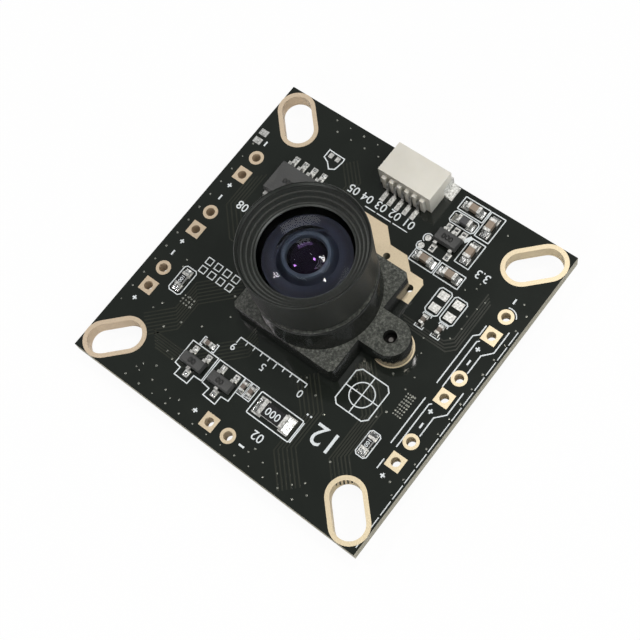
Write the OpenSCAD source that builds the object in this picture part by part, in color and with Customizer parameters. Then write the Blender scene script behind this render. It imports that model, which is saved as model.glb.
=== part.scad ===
// Camera module: a square circuit board that carries an M12 lens in a moulded holder, a five-way
// cable socket and surface-mount parts. +Z points out of the lens, +Y towards the cable socket,
// the origin is under the middle of the board, level with the lowest screw head.

/* [Board] */
// Side of the square board
board_size = 38; // [37.8:0.1:38.2]
// Thickness of the bare board
board_t = 1.6; // [1:0.1:2]
// Thickness of copper, plating and tinned lands
copper_t = 0.05; // [0.03:0.01:0.08]

/* [Corner slots] */
// Distance of a slot's centre from the board's edges
slot_edge = 3.14; // [3:0.02:3.3]
// Width of a plated slot
slot_w = 3.3; // [3:0.1:3.5]
// Distance between the centres of a slot's two round ends
slot_run = 2.8; // [2.4:0.1:3]
// Width of the copper rim around a slot
slot_rim = 0.5; // [0.3:0.05:0.6]

/* [Pin header holes] */
// Distance of the two side columns of holes from the board's edge
header_edge = 2.25; // [2.1:0.05:2.4]
// Distance between the pairs in a side column
header_step = 8.08; // [7.9:0.02:8.2]
// Height of the middle pair above the board's centre line
header_y = 0.13; // [0:0.01:0.3]
// Distance between the two holes of a pair
header_pitch = 2.54; // [2.5:0.01:2.6]
// Diameter of a plated header hole
header_hole_d = 1; // [0.9:0.02:1.1]
// Width of a square pad, and diameter of a round one
header_pad = 1.7; // [1.6:0.05:1.9]
// Distance of the bottom pair from the board's edge
header_low_edge = 1.95; // [1.8:0.05:2.1]

/* [Lens holder] */
// Place of the optical axis on the board
axis_at = [0.3, 0.25];
// Side of the holder's square foot
foot_w = 13.1; // [12.9:0.1:13.3]
// Height of the foot and of its two ears
foot_h = 3.1; // [3:0.1:3.4]
// Length cut off each upright corner of the foot
foot_corner = 0.4; // [0.3:0.1:0.8]
// Diameter of the round collar above the foot
collar_d = 13.1; // [12.9:0.05:13.1]
// Height of the collar's top above the holder's underside
collar_h = 7.15; // [6.9:0.05:7.3]
// Distance between the two fixing screws
ear_spacing = 18; // [17.8:0.1:18.2]
// Width of an ear, which is also the diameter of its round end
ear_w = 4.2; // [4:0.1:4.4]
// Diameter of the lens thread, taken at its crests
thread_d = 12; // [11.9:0.05:12]
// Room between the lens thread and the holder's bore, on the radius
thread_gap = 0.05; // [0.03:0.01:0.08]
// Side of the square room above the image sensor
sensor_room = 9.6; // [9.4:0.1:9.8]
// Height of the room above the image sensor
room_h = 1.65; // [1.6:0.05:1.75]
// Side of the window between the sensor's room and the lens bore
window_w = 6.2; // [6:0.1:6.6]

/* [Lens] */
// Diameter of the lens head at its front lip
head_d = 13.3; // [13.1:0.1:13.5]
// Diameter of the lens head at its back
head_back_d = 13; // [12.8:0.1:13]
// Height of the front lip above the holder's underside
head_top = 14.1; // [13.9:0.1:14.3]
// Gap between the collar and the lens head when the lens is in focus
focus_gap = 0.9; // [0.8:0.05:1.1]
// Height of the thread's lower end above the holder's underside
shank_end = 3.3; // [3.2:0.05:3.4]
// Number of steps in the funnel in front of the glass
funnel_steps = 4; // [3:1:4]
// Height from one funnel step to the next
funnel_rise = 0.41; // [0.38:0.01:0.43]
// Radius from one funnel step to the next
funnel_run = 0.43; // [0.42:0.01:0.44]
// Depth of the groove between two funnel steps
funnel_groove = 0.15; // [0.1:0.05:0.2]
// Radius of the front glass's dome
dome_r = 12.3; // [11.5:0.1:13]
// Diameter of the front glass
front_glass_d = 10.4; // [10.3:0.05:10.45]
// Height of the front glass's crown above the holder's underside
front_crown = 13.15; // [13.05:0.05:13.25]
// Radius of the hollow at the back of the front glass
front_back_r = 4.5; // [4.3:0.1:4.8]
// Diameter of the opening in the stop
stop_hole_d = 4.1; // [4:0.1:4.3]
// Side-to-side play between a glass or ring and its seat, on the radius
lens_fit = 0.02; // [0.01:0.01:0.03]

/* [Cable socket] */
// Middle of the socket along X
socket_x = 0.05; // [-0.1:0.05:0.2]
// Width of the socket's housing
socket_w = 6.8; // [6.7:0.05:7]
// Distance of the housing's open front from the board's edge
socket_inset = 0.35; // [0.2:0.05:0.5]
// Depth of the housing from its open front to its rear wall
socket_depth = 3.85; // [3.75:0.05:3.95]
// Height of the housing
socket_h = 2.95; // [2.85:0.05:3]
// Number of contacts
contact_count = 5;
// Distance from one contact to the next
contact_pitch = 1; // [0.98:0.01:1.02]
// Thickness of the housing's walls
socket_wall = 0.5; // [0.45:0.05:0.55]

/* [Fixing screws] */
// Diameter of a screw's head
screw_head_d = 3.4; // [3.2:0.1:3.6]
// Height of a screw's head
screw_head_h = 1.3; // [1.2:0.05:1.4]
// Diameter of a screw's shank, and of the hole that it has cut in the ear
screw_d = 1.44; // [1.4:0.02:1.5]
// Distance of the screw's tip below the ear's upper face
screw_tip_depth = 0.9; // [0.7:0.05:1.1]

/* [Hidden] */
$fn = 96;

eps = 0.01;
board_z = screw_head_h + copper_t;
top_z = board_z + board_t;
seat_z = top_z + copper_t;
part_z = top_z + copper_t;
half = board_size / 2;
slot_offset = half - slot_edge;
header_x = half - header_edge;
header_low_y = half - header_low_edge;
socket_front = half - socket_inset;
socket_rear = socket_front - socket_depth;

slot_r = slot_w / 2;
thread_r = thread_d / 2;
head_z = collar_h + focus_gap;
collar_r = collar_d / 2;
lip_r = head_d / 2 - 0.12;
funnel_depth = funnel_steps * funnel_rise;
ring_seat_z = head_top - funnel_depth - 0.6;
ring_r = lip_r - 0.2;
glass_r = front_glass_d / 2;
glass_seat_z = ring_seat_z - 0.85;
mount_r = glass_r - 0.8;
mount_top = front_crown - 1.6;
mount_seat_z = glass_seat_z - 1.3;
tube_r = mount_r - 0.9;
rear_glass_z = shank_end + 0.6;
rear_glass_t = 1.6;
rear_dome_r = 12;
tube_wall = 0.7;
front_glass_t = 0.85;
middle_dome_r = 6;
stop_r = stop_hole_d / 2;
stop_lip = 0.5;
stop_z = mount_top - 0.5;

// Chip part sizes: length, width, height, length of an end cap
chip_large = [3.2, 1.6, 0.6, 0.45];
chip_mid = [1.6, 0.8, 0.8, 0.35];
chip_flat = [1.6, 0.8, 0.45, 0.3];
chip_small = [1, 0.5, 0.45, 0.25];
// Thickness of an end cap's metal
cap_skin = 0.03;

// Lands for chips: inner end, outer end and width, from the middle of the footprint
land_large = [1.15, 2.35, 2];
land_mid = [0.5, 1.35, 0.95];
land_small = [0.25, 0.75, 0.6];

// Chip places: x, y, turn, and how far the chip sits off its lands' middle along its length
capacitors = [[6.98, half - 1.45, 0, 0.12], [9.61, half - 2.2, 90, 0], [9.63, half - 5.8, 90, 0],
    [6.08, half - 9.05, 0, 0.07], [9.33, half - 9.05, 0, 0.09]];
beads = [[6.96, half - 3.27, 0, 0.18]];
large_resistors = [[3.85, 6.36 - half, 0, 0]];
mid_resistors = [[5 - half, -6.6, 90, 0], [half - 5.58, -9.35, 90, 0]];
small_chips = [[10.04, 4.4, 90, 0], [12.07, 4.4, 90, 0], [-6.75, 8.45 - half, 0, -0.1],
    [-0.72, 6.9 - half, 90, 0], [0.26, 6.9 - half, 90, 0]];
back_chips = [[-4.6, 2.4, 90, 0], [-4.6, -0.2, 90, 0], [5.2, 2.4, 90, 0], [5.2, -0.2, 90, 0],
    [-1.4, 5.4, 0, 0], [1.6, 5.4, 0, 0]];

// Packages with leads: body length, width and height, reach of the lead tips, lead width
memory = [4.9, 3.9, 1.5, 3.05, 0.42];
regulator = [2.9, 1.6, 1.1, 1.4, 0.4];
transistor = [2.9, 1.3, 1, 1.2, 0.42];
memory_at = [8.17 - half, half - 10.4];
regulator_at = [6.93, half - 6];
transistors_at = [[-6.7, 5.87 - half], [-2.83, 5.87 - half]];
// Lead places along the body: the +Y side, then the -Y side
memory_upper = [for (i = [-1.5:1.5]) i * 1.27];
memory_lower = memory_upper;
regulator_upper = [-0.95, 0, 0.95];
regulator_lower = [-0.95, 0.95];
transistor_upper = [-0.9, 0.9];
transistor_lower = [0];
lead_t = 0.15;
lead_rise = 0.5;

// Bare tinned lands: x, y, width, length
bare_lands = [[10.18, 7.78, 1.1, 0.9], [10.18, 6.19, 1.1, 0.9], [12.06, 7.78, 1.1, 0.9],
    [12.06, 6.19, 1.1, 0.9], [0.95 - half, 12.45, 1, 0.75], [0.95 - half, 11.3, 1, 0.75],
    [-9.87, half - 4.67, 0.5, 0.6], [-8.95, half - 4.67, 0.5, 0.6]];
test_pads = [[4.91, half - 6.78], [4.81, half - 7.87]];
test_pad_d = 0.7;

// Outline of the bare copper beside the holder
ground_outline = [[-4.5, 10.95], [0.5, 10.95], [2.1, 9.35], [4.3, 9.35], [5.7, 8.05],
    [7.3, 8.05], [7.7, 7.6], [7.7, 4.95], [-4.5, 4.95]];
// Small holes through the bare copper: x, y, diameter
ground_holes = [[2.54, 8.06, 0.8], [6.71, 6.45, 0.9]];

screw_hole_d = 2;
screw_rim_d = 4.5;

// Header holes: x, y, and whether the pad is square
header_pairs = [for (side = [-1, 1], row = [-1, 0, 1])
    [side * header_x, header_y + row * header_step]];
header_holes = concat(
    [for (p = header_pairs, end = [-1, 1]) [p[0], p[1] + end * header_pitch / 2, end < 0]],
    [for (end = [-1, 1]) [end * header_pitch / 2, -header_low_y, end < 0]]);

// ---------------------------------------------------------------- shared shapes

// A slot along the board's diagonal, from z0 to z1
module slot(r, z0, z1) {
    translate([0, 0, z0]) rotate(45) {
        for (end = [-1, 1]) translate([end * slot_run / 2, 0, 0]) cylinder(r = r, h = z1 - z0);
        translate([-slot_run / 2, -r, 0]) cube([slot_run, 2 * r, z1 - z0]);
    }
}

// Repeats its children at the four slots, each turned so that the slot runs along the diagonal
module at_slots() {
    for (quarter = [0:3]) rotate(quarter * 90) translate([slot_offset, slot_offset, 0]) children();
}

// Repeats its children at the holder's two ears
module at_ears() {
    for (side = [-1, 1])
        translate([axis_at[0] + side * ear_spacing / 2, axis_at[1], 0]) children();
}

// Moves its children to the optical axis, at the height of the holder's underside
module on_axis() {
    translate([axis_at[0], axis_at[1], seat_z]) children();
}

// A plated hole: a pad on each face of the board and the wall between them
module plated_hole(hole_d, pad_d, square_pad) {
    difference() {
        union() {
            translate([0, 0, board_z - copper_t]) pad(pad_d, square_pad);
            translate([0, 0, top_z]) pad(pad_d, square_pad);
            translate([0, 0, board_z]) cylinder(d = hole_d + 2 * copper_t, h = board_t);
        }
        translate([0, 0, board_z - 1]) cylinder(d = hole_d, h = board_t + 2);
    }
}

module pad(size, square_pad) {
    if (square_pad) translate([-size / 2, -size / 2, 0]) cube([size, size, copper_t]);
    else cylinder(d = size, h = copper_t);
}

// Repeats its children at each chip in a list, on the lands or at the chip's own middle
module at_chips(places, slipped) {
    for (p = places)
        translate([p[0], p[1], part_z]) rotate(p[2])
            translate([slipped ? p[3] : 0, 0, 0]) children();
}

// The same on the back of the board, upside down
module at_back_chips(places) {
    for (p = places)
        translate([p[0], p[1], board_z - copper_t]) rotate([180, 0, p[2]]) children();
}

// The ceramic core of a chip, which its end caps wrap
module chip_core(size) {
    translate([0, 0, size[2] / 2])
        cube([size[0] - 2 * cap_skin, size[1] - 2 * cap_skin, size[2] - 2 * cap_skin], center = true);
}

// The two metal end caps of a chip
module chip_caps(size) {
    difference() {
        for (end = [-1, 1])
            translate([end * (size[0] - size[3]) / 2, 0, size[2] / 2])
                cube([size[3], size[1], size[2]], center = true);
        chip_core(size);
    }
}

// The pair of lands under a chip
module chip_lands(land) {
    for (end = [-1, 1])
        translate([end * (land[0] + land[1]) / 2, 0, -copper_t / 2])
            cube([land[1] - land[0], land[2], copper_t], center = true);
}

// The solder that rises from each land to the chip's end: reach is the land's outer end
module chip_solder(size, reach, slip) {
    for (end = [-1, 1]) {
        run = reach - end * slip - size[0] / 2;
        translate([slip, 0, 0]) mirror([end < 0 ? 1 : 0, 0, 0]) translate([size[0] / 2, 0, 0])
            rotate([90, 0, 0]) linear_extrude(size[1], center = true)
                polygon([[0, 0], [run, 0], [run * 0.55, size[2] * 0.18], [0, size[2] * 0.6]]);
    }
}

// A moulded package with sloping sides, standing clear of the board by gap
module package(size, slope, gap) {
    long = size[0] / 2;
    wide = size[1] / 2;
    h = size[2];
    intersection() {
        rotate([90, 0, 0]) linear_extrude(size[1] + 1, center = true)
            polygon([[-long + slope, gap], [long - slope, gap], [long, h / 2], [long - slope, h],
                [-long + slope, h], [-long, h / 2]]);
        rotate([90, 0, 90]) linear_extrude(size[0] + 1, center = true)
            polygon([[-wide + slope, gap], [wide - slope, gap], [wide, h / 2], [wide - slope, h],
                [-wide + slope, h], [-wide, h / 2]]);
    }
}

// One bent lead on the +Y side: it leaves the body at mid height and stands on the land
module gull_lead(size) {
    start = size[1] / 2;
    tip = size[3];
    knee = start + (tip - start) * 0.35;
    heel = start + (tip - start) * 0.55;
    z = size[2] / 2 - lead_t / 2;
    rotate([90, 0, 90]) linear_extrude(size[4], center = true)
        polygon([[start, z], [knee - lead_t / 2, z], [heel - lead_t / 2, 0], [tip, 0],
            [tip, lead_t], [heel + lead_t / 2, lead_t], [knee + lead_t / 2, z + lead_t],
            [start, z + lead_t]]);
}

// Leads of a package: upper on the +Y side and lower on the -Y side
module package_leads(size, upper, lower) {
    for (x = upper) translate([x, 0, 0]) gull_lead(size);
    for (x = lower) translate([x, 0, 0]) mirror([0, 1, 0]) gull_lead(size);
}

// Lands of a package's leads
module lead_lands(size, upper, lower) {
    inner = size[1] / 2 + 0.2;
    outer = size[3] + 0.5;
    for (x = upper) translate([x - size[4] / 2 - 0.12, inner, -copper_t])
        cube([size[4] + 0.24, outer - inner, copper_t]);
    for (x = lower) translate([x - size[4] / 2 - 0.12, -outer, -copper_t])
        cube([size[4] + 0.24, outer - inner, copper_t]);
}

// Solder in front of each lead's tip
module lead_solder(size, upper, lower) {
    for (x = upper) translate([x, 0, 0]) toe_solder(size);
    for (x = lower) translate([x, 0, 0]) mirror([0, 1, 0]) toe_solder(size);
}

module toe_solder(size) {
    rotate([90, 0, 90]) linear_extrude(size[4], center = true)
        polygon([[size[3], 0], [size[3] + 0.35, 0], [size[3], lead_t]]);
}

// ---------------------------------------------------------------- board

module circuit_board() {
    color("darkslategray") difference() {
        translate([-half, -half, board_z]) cube([board_size, board_size, board_t]);
        at_slots() slot(slot_r + copper_t, board_z - 1, top_z + 1);
        for (h = header_holes) translate([h[0], h[1], board_z - 1])
            cylinder(d = header_hole_d + 2 * copper_t, h = board_t + 2);
        for (h = ground_holes) translate([h[0], h[1], board_z - 1])
            cylinder(d = h[2], h = board_t + 2);
        at_ears() translate([0, 0, board_z - 1])
            cylinder(d = screw_hole_d + 2 * copper_t, h = board_t + 2);
    }
}

module slot_plating() {
    color("tan") at_slots() difference() {
        union() {
            slot(slot_r + copper_t, board_z, top_z);
            intersection() {
                union() {
                    slot(slot_r + slot_rim, board_z - copper_t, board_z);
                    slot(slot_r + slot_rim, top_z, top_z + copper_t);
                }
                translate([-half - slot_offset, -half - slot_offset, 0])
                    cube([board_size, board_size, 2 * top_z]);
            }
        }
        slot(slot_r, board_z - 1, top_z + 1);
    }
}

module header_plating() {
    color("tan") for (h = header_holes) translate([h[0], h[1], 0])
        plated_hole(header_hole_d, header_pad, h[2]);
}

module screw_hole_plating() {
    color("gold") at_ears() plated_hole(screw_hole_d, screw_rim_d, false);
}

module ground_copper() {
    color("wheat") difference() {
        translate([0, 0, top_z]) linear_extrude(copper_t) polygon(ground_outline);
        for (h = ground_holes) translate([h[0], h[1], top_z - 1]) cylinder(d = h[2], h = 2);
    }
}

module solder_lands() {
    color("lightgray") {
        at_chips(concat(capacitors, beads, mid_resistors), false) chip_lands(land_mid);
        at_chips(large_resistors, false) chip_lands(land_large);
        at_chips(small_chips, false) chip_lands(land_small);
        at_back_chips(back_chips) chip_lands(land_small);
        translate([memory_at[0], memory_at[1], part_z])
            lead_lands(memory, memory_upper, memory_lower);
        translate([regulator_at[0], regulator_at[1], part_z])
            lead_lands(regulator, regulator_upper, regulator_lower);
        for (p = transistors_at) translate([p[0], p[1], part_z])
            lead_lands(transistor, transistor_upper, transistor_lower);
        at_contacts() translate([-contact_w / 2 - 0.12, socket_rear - 1.85, -copper_t])
            cube([contact_w + 0.24, 1.2, copper_t]);
        for (side = [-1, 1]) translate([socket_x + side * (socket_w / 2 + 0.35) - 0.6,
            half - 0.1 - tab_l, top_z]) cube([1.2, tab_l, copper_t]);
        on_axis() for (side = [-1, 1], i = [-3.5:3.5])
            translate([i * 0.9 - 0.25, side * sensor_w / 2 - 0.4, -copper_t])
                cube([0.5, 0.8, copper_t]);
        translate([processor_at[0], processor_at[1], board_z - copper_t]) {
            translate([-2.5, -2.5, 0]) cube([5, 5, copper_t]);
            for (quarter = [0:3], i = [-4.5:4.5]) rotate(quarter * 90)
                translate([processor_w / 2 - 0.5, i * 0.6 - 0.15, 0]) cube([0.7, 0.3, copper_t]);
        }
        translate([crystal_at[0], crystal_at[1], board_z - copper_t])
            for (x = [-1, 1], y = [-1, 1]) translate([x * 1.1 - 0.6, y * 0.85 - 0.5, 0])
                cube([1.2, 1, copper_t]);
        for (l = bare_lands) translate([l[0] - l[2] / 2, l[1] - l[3] / 2, top_z])
            cube([l[2], l[3], copper_t]);
        for (p = test_pads) translate([p[0], p[1], top_z]) cylinder(d = test_pad_d, h = copper_t);
    }
}

module solder_joints() {
    color("silver") {
        for (p = concat(capacitors, beads)) at_chips([p], false)
            chip_solder(chip_mid, land_mid[1], p[3]);
        for (p = mid_resistors) at_chips([p], false) chip_solder(chip_flat, land_mid[1], p[3]);
        for (p = large_resistors) at_chips([p], false)
            chip_solder(chip_large, land_large[1], p[3]);
        for (p = small_chips) at_chips([p], false)
            chip_solder(chip_small, land_small[1], p[3]);
        at_back_chips(back_chips) chip_solder(chip_small, land_small[1], 0);
        translate([memory_at[0], memory_at[1], part_z])
            lead_solder(memory, memory_upper, memory_lower);
        translate([regulator_at[0], regulator_at[1], part_z])
            lead_solder(regulator, regulator_upper, regulator_lower);
        for (p = transistors_at) translate([p[0], p[1], part_z])
            lead_solder(transistor, transistor_upper, transistor_lower);
    }
}

// ---------------------------------------------------------------- cable socket

contact_w = 0.3;
contact_t = 0.2;
contact_z = 1.3;
rib_w = 0.5;
rib_l = 0.4;
rib_step = 0.7;
tab_w = 0.65;
tab_front = half - 0.05;
tab_l = 1.8;
tab_t = 0.2;
tab_rise = 1.4;
function contact_x(i) = (i - (contact_count - 1) / 2) * contact_pitch;

// Repeats its children at each contact
module at_contacts() {
    for (i = [0:contact_count - 1]) translate([socket_x + contact_x(i), 0, part_z]) children();
}

module socket_housing() {
    depth = socket_front - socket_rear;
    inner_w = socket_w - 2 * socket_wall;
    color("linen") difference() {
        union() {
            translate([socket_x - socket_w / 2, socket_rear, top_z])
                cube([socket_w, depth, socket_h]);
            for (i = [0:contact_count])
                translate([socket_x + contact_x(i - 0.5) - rib_w / 2, socket_rear - rib_l, top_z])
                    cube([rib_w, rib_l + eps, socket_h - rib_step]);
        }
        // The room that the plug fills, open at the front
        translate([socket_x - inner_w / 2, socket_rear + 1, top_z + socket_wall])
            cube([inner_w, depth, socket_h - 2 * socket_wall]);
        // Each contact's way through the rear wall
        at_contacts() translate([-contact_w / 2, socket_rear - 1, contact_z])
            cube([contact_w, 3, contact_t]);
        // Pockets in the sides for the solder tabs
        for (side = [-1, 1])
            translate([socket_x + side * socket_w / 2 - tab_t, tab_front - tab_l, top_z - 1])
                cube([2 * tab_t, tab_l, tab_rise + copper_t + 1]);
    }
}

module socket_contacts() {
    tip = socket_front - 0.8;
    knee = socket_rear - 0.15;
    toe = socket_rear - 1.55;
    color("silver") at_contacts() rotate([90, 0, 90]) linear_extrude(contact_w, center = true)
        polygon([[tip, contact_z], [tip, contact_z + contact_t], [knee - 0.1, contact_z + contact_t],
            [knee - 0.3, contact_z], [knee - 0.5, contact_t], [toe, contact_t], [toe, 0],
            [knee - 0.4, 0], [knee - 0.3, contact_t / 2], [knee, contact_z]]);
}

module socket_tabs() {
    color("silver") for (side = [-1, 1])
        translate([socket_x, 0, part_z]) mirror([side < 0 ? 1 : 0, 0, 0])
            translate([socket_w / 2 - tab_t, tab_front - tab_l, 0]) {
                cube([tab_t, tab_l, tab_rise]);
                cube([tab_w + tab_t, tab_l, tab_t]);
            }
}

// ---------------------------------------------------------------- lens holder and what it covers

bore_r = thread_r + thread_gap;
// Distance from the axis to the flats that cut the foot's corners
corner_reach = (foot_w - foot_corner) / sqrt(2);
floor_top = room_h + 0.75;
filter_t = 0.4;
filter_w = 8;
filter_seat = floor_top - 0.3;

module lens_holder() {
    color("dimgray") on_axis() difference() {
        union() {
            intersection() {
                translate([-foot_w / 2, -foot_w / 2, 0]) cube([foot_w, foot_w, foot_h]);
                rotate(45) translate([-corner_reach, -corner_reach, 0])
                    cube([2 * corner_reach, 2 * corner_reach, foot_h]);
            }
            cylinder(r = collar_r, h = collar_h - 0.2);
            translate([0, 0, collar_h - 0.2]) cylinder(r1 = collar_r, r2 = collar_r - 0.15, h = 0.2);
            for (side = [-1, 1])
                translate([side * ear_spacing / 2, 0, 0]) cylinder(d = ear_w, h = foot_h);
            translate([-ear_spacing / 2, -ear_w / 2, 0]) cube([ear_spacing, ear_w, foot_h]);
        }
        translate([0, 0, floor_top]) cylinder(r = bore_r, h = collar_h);
        translate([-sensor_room / 2, -sensor_room / 2, -1])
            cube([sensor_room, sensor_room, room_h + 1]);
        translate([-window_w / 2, -window_w / 2, 0]) cube([window_w, window_w, collar_h]);
        translate([-filter_w / 2, -filter_w / 2, filter_seat]) cube([filter_w, filter_w, 1]);
        for (side = [-1, 1]) translate([side * ear_spacing / 2, 0, -1])
            cylinder(d = screw_d, h = foot_h + 2);
    }
}

module infrared_filter() {
    side = filter_w - 0.1;
    color("lightblue") on_axis() translate([-side / 2, -side / 2, filter_seat])
        cube([side, side, filter_t]);
}

sensor_w = 7.6;
sensor_l = 8.4;
sensor_h = 0.9;
sensor_glass_t = 0.4;
die_w = 4.2;
die_l = 5.4;
die_t = 0.3;

module sensor_package() {
    color("dimgray") on_axis() difference() {
        translate([-sensor_l / 2, -sensor_w / 2, 0]) cube([sensor_l, sensor_w, sensor_h]);
        translate([-die_l / 2 - 0.5, -die_w / 2 - 0.5, sensor_h - die_t - 0.2])
            cube([die_l + 1, die_w + 1, 1]);
    }
}

module sensor_die() {
    color("slateblue") on_axis() translate([-die_l / 2, -die_w / 2, sensor_h - die_t - 0.2])
        cube([die_l, die_w, die_t]);
}

module sensor_glass() {
    color("lightcyan") on_axis()
        translate([-sensor_l / 2 + 0.4, -sensor_w / 2 + 0.4, sensor_h])
            cube([sensor_l - 0.8, sensor_w - 0.8, sensor_glass_t]);
}

module holder_screws() {
    shank_top = seat_z + foot_h - screw_tip_depth;
    color("gray") at_ears() difference() {
        union() {
            cylinder(d1 = screw_head_d - 0.6, d2 = screw_head_d, h = 0.5);
            translate([0, 0, 0.5]) cylinder(d = screw_head_d, h = screw_head_h - 0.5);
            translate([0, 0, screw_head_h]) cylinder(d = screw_d, h = shank_top - screw_head_h - 0.4);
            translate([0, 0, shank_top - 0.4]) cylinder(d1 = screw_d, d2 = screw_d / 3, h = 0.4);
        }
        for (turn = [0, 90]) rotate(turn) translate([-0.95, -0.2, -1]) cube([1.9, 0.4, 1.7]);
    }
}

// ---------------------------------------------------------------- lens

// How far a sphere's surface falls away from its crown at radius r
function sag(sphere_r, r) = sphere_r - sqrt(sphere_r * sphere_r - r * r);

module lens_barrel() {
    head_r = head_d / 2;
    back_r = head_back_d / 2;
    color("black") on_axis() rotate_extrude() polygon([
        [thread_r - 0.25, shank_end], [thread_r, shank_end + 0.25], [thread_r, head_z - 0.3],
        [thread_r - 0.2, head_z - 0.2], [thread_r - 0.2, head_z], [back_r - 0.25, head_z],
        [back_r, head_z + 0.25], [head_r, head_top - 0.1], [head_r - 0.06, head_top],
        [lip_r, head_top], [lip_r, head_top - 0.1], [ring_r, head_top - 0.3],
        [ring_r, ring_seat_z], [glass_r + lens_fit, ring_seat_z],
        [glass_r + lens_fit, glass_seat_z], [mount_r + lens_fit, glass_seat_z],
        [mount_r + lens_fit, mount_seat_z], [tube_r + lens_fit, mount_seat_z],
        [tube_r + lens_fit, shank_end]]);
}

// The stepped funnel that screws into the head and holds the front glass
module front_ring() {
    outer = ring_r - lens_fit;
    steps = [for (i = [0:funnel_steps - 1], corner = [0:2])
        let (r = outer - 0.03 - i * funnel_run, z = head_top - (i + 1) * funnel_rise,
            floor = z - funnel_rise - funnel_groove)
        corner == 0 ? [r, z] : corner == 1 ? [r - 0.08, floor] : [r - funnel_run * 0.55, floor]];
    last = 3 * funnel_steps - 3;
    throat_r = steps[last][0] - 0.14;
    rest_z = front_crown - sag(dome_r, throat_r) + 0.03;
    color("black") on_axis() rotate_extrude() polygon(concat(
        [[outer, ring_seat_z], [outer, head_top - funnel_rise]],
        [for (i = [0:last]) steps[i]],
        [[throat_r, steps[last][1] - 0.1], [throat_r, rest_z], [glass_r + 0.1, rest_z],
            [glass_r + 0.1, ring_seat_z]]));
}

module front_glass() {
    color("midnightblue", 0.6) on_axis() difference() {
        intersection() {
            translate([0, 0, glass_seat_z]) cylinder(r = glass_r, h = front_crown - glass_seat_z);
            translate([0, 0, front_crown - dome_r]) sphere(r = dome_r);
        }
        translate([0, 0, front_crown - front_glass_t - front_back_r]) sphere(r = front_back_r);
    }
}

// The black mount behind the front glass, with the stop's opening in its nose
module inner_mount() {
    nose_r = stop_r + 0.35;
    shoulder_z = glass_seat_z - 0.1;
    color("black") on_axis() rotate_extrude() polygon([
        [mount_r, mount_seat_z], [mount_r, shoulder_z], [nose_r + 0.65, shoulder_z],
        [nose_r, mount_top], [stop_r + 0.05, mount_top], [stop_r, mount_top - 0.1],
        [stop_r, stop_z], [stop_r + stop_lip, stop_z], [stop_r + stop_lip, mount_seat_z]]);
}

// The glass behind the stop: its dome reaches up through the stop's opening
module middle_glass() {
    foot_z = mount_seat_z + 0.1;
    color("midnightblue", 0.6) on_axis() intersection() {
        translate([0, 0, stop_z + 0.35 - middle_dome_r]) sphere(r = middle_dome_r);
        union() {
            translate([0, 0, foot_z]) cylinder(r = stop_r + stop_lip - lens_fit, h = stop_z - foot_z);
            translate([0, 0, foot_z]) cylinder(r = stop_r - lens_fit, h = head_top);
        }
    }
}

module spacer_tube() {
    foot_z = rear_glass_z + rear_glass_t;
    color("black") on_axis() translate([0, 0, foot_z]) difference() {
        cylinder(r = tube_r, h = mount_seat_z - foot_z);
        translate([0, 0, -1]) cylinder(r = tube_r - tube_wall, h = head_top);
    }
}

module rear_glass() {
    color("lightsteelblue", 0.6) on_axis() intersection() {
        translate([0, 0, rear_glass_z]) cylinder(r = tube_r, h = rear_glass_t);
        translate([0, 0, rear_glass_z + rear_dome_r]) sphere(r = rear_dome_r);
    }
}

module rear_ring() {
    foot_z = shank_end + 0.05;
    rest_z = rear_glass_z + sag(rear_dome_r, tube_r - tube_wall) - 0.01;
    color("black") on_axis() translate([0, 0, foot_z]) difference() {
        cylinder(r = tube_r, h = rest_z - foot_z);
        translate([0, 0, -1]) cylinder(r = tube_r - tube_wall, h = 4);
    }
}

// ---------------------------------------------------------------- parts on the front

module memory_body() {
    color("darkslategray") translate([memory_at[0], memory_at[1], part_z]) difference() {
        package(memory, 0.12, 0.1);
        translate([-memory[0] / 2 + 0.7, -memory[1] / 2 + 0.7, memory[2] - 0.05])
            cylinder(d = 0.6, h = 1);
    }
}

module memory_leads() {
    color("silver") translate([memory_at[0], memory_at[1], part_z])
        package_leads(memory, memory_upper, memory_lower);
}

module regulator_body() {
    color("dimgray") translate([regulator_at[0], regulator_at[1], part_z])
        package(regulator, 0.13, 0.08);
}

module regulator_leads() {
    color("silver") translate([regulator_at[0], regulator_at[1], part_z])
        package_leads(regulator, regulator_upper, regulator_lower);
}

module transistor_bodies() {
    color("dimgray") for (p = transistors_at) translate([p[0], p[1], part_z])
        package(transistor, 0.1, 0.06);
}

module transistor_leads() {
    color("silver") for (p = transistors_at) translate([p[0], p[1], part_z])
        package_leads(transistor, transistor_upper, transistor_lower);
}

module capacitor_bodies() {
    color("rosybrown") at_chips(capacitors, true) chip_core(chip_mid);
}

module capacitor_ends() {
    color("silver") at_chips(capacitors, true) chip_caps(chip_mid);
}

module bead_body() {
    color("slategray") at_chips(beads, true) chip_core(chip_mid);
}

module bead_ends() {
    color("silver") at_chips(beads, true) chip_caps(chip_mid);
}

module resistor_bodies() {
    color("white") {
        at_chips(large_resistors, true) chip_core(chip_large);
        at_chips(mid_resistors, true) chip_core(chip_flat);
    }
}

module resistor_ends() {
    color("silver") {
        at_chips(large_resistors, true) chip_caps(chip_large);
        at_chips(mid_resistors, true) chip_caps(chip_flat);
    }
}

// The dark glaze over a resistor's film, between its end caps
module resistor_coat(size) {
    length = size[0] - 2 * size[3] - 0.02;
    translate([-length / 2, -size[1] / 2 + cap_skin, size[2] - cap_skin])
        cube([length, size[1] - 2 * cap_skin, cap_skin]);
}

module resistor_coats() {
    color("black") {
        at_chips(large_resistors, true) resistor_coat(chip_large);
        at_chips(mid_resistors, true) resistor_coat(chip_flat);
    }
}

module small_chip_bodies() {
    color("dimgray") {
        at_chips(small_chips, true) chip_core(chip_small);
        at_back_chips(back_chips) chip_core(chip_small);
    }
}

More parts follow.
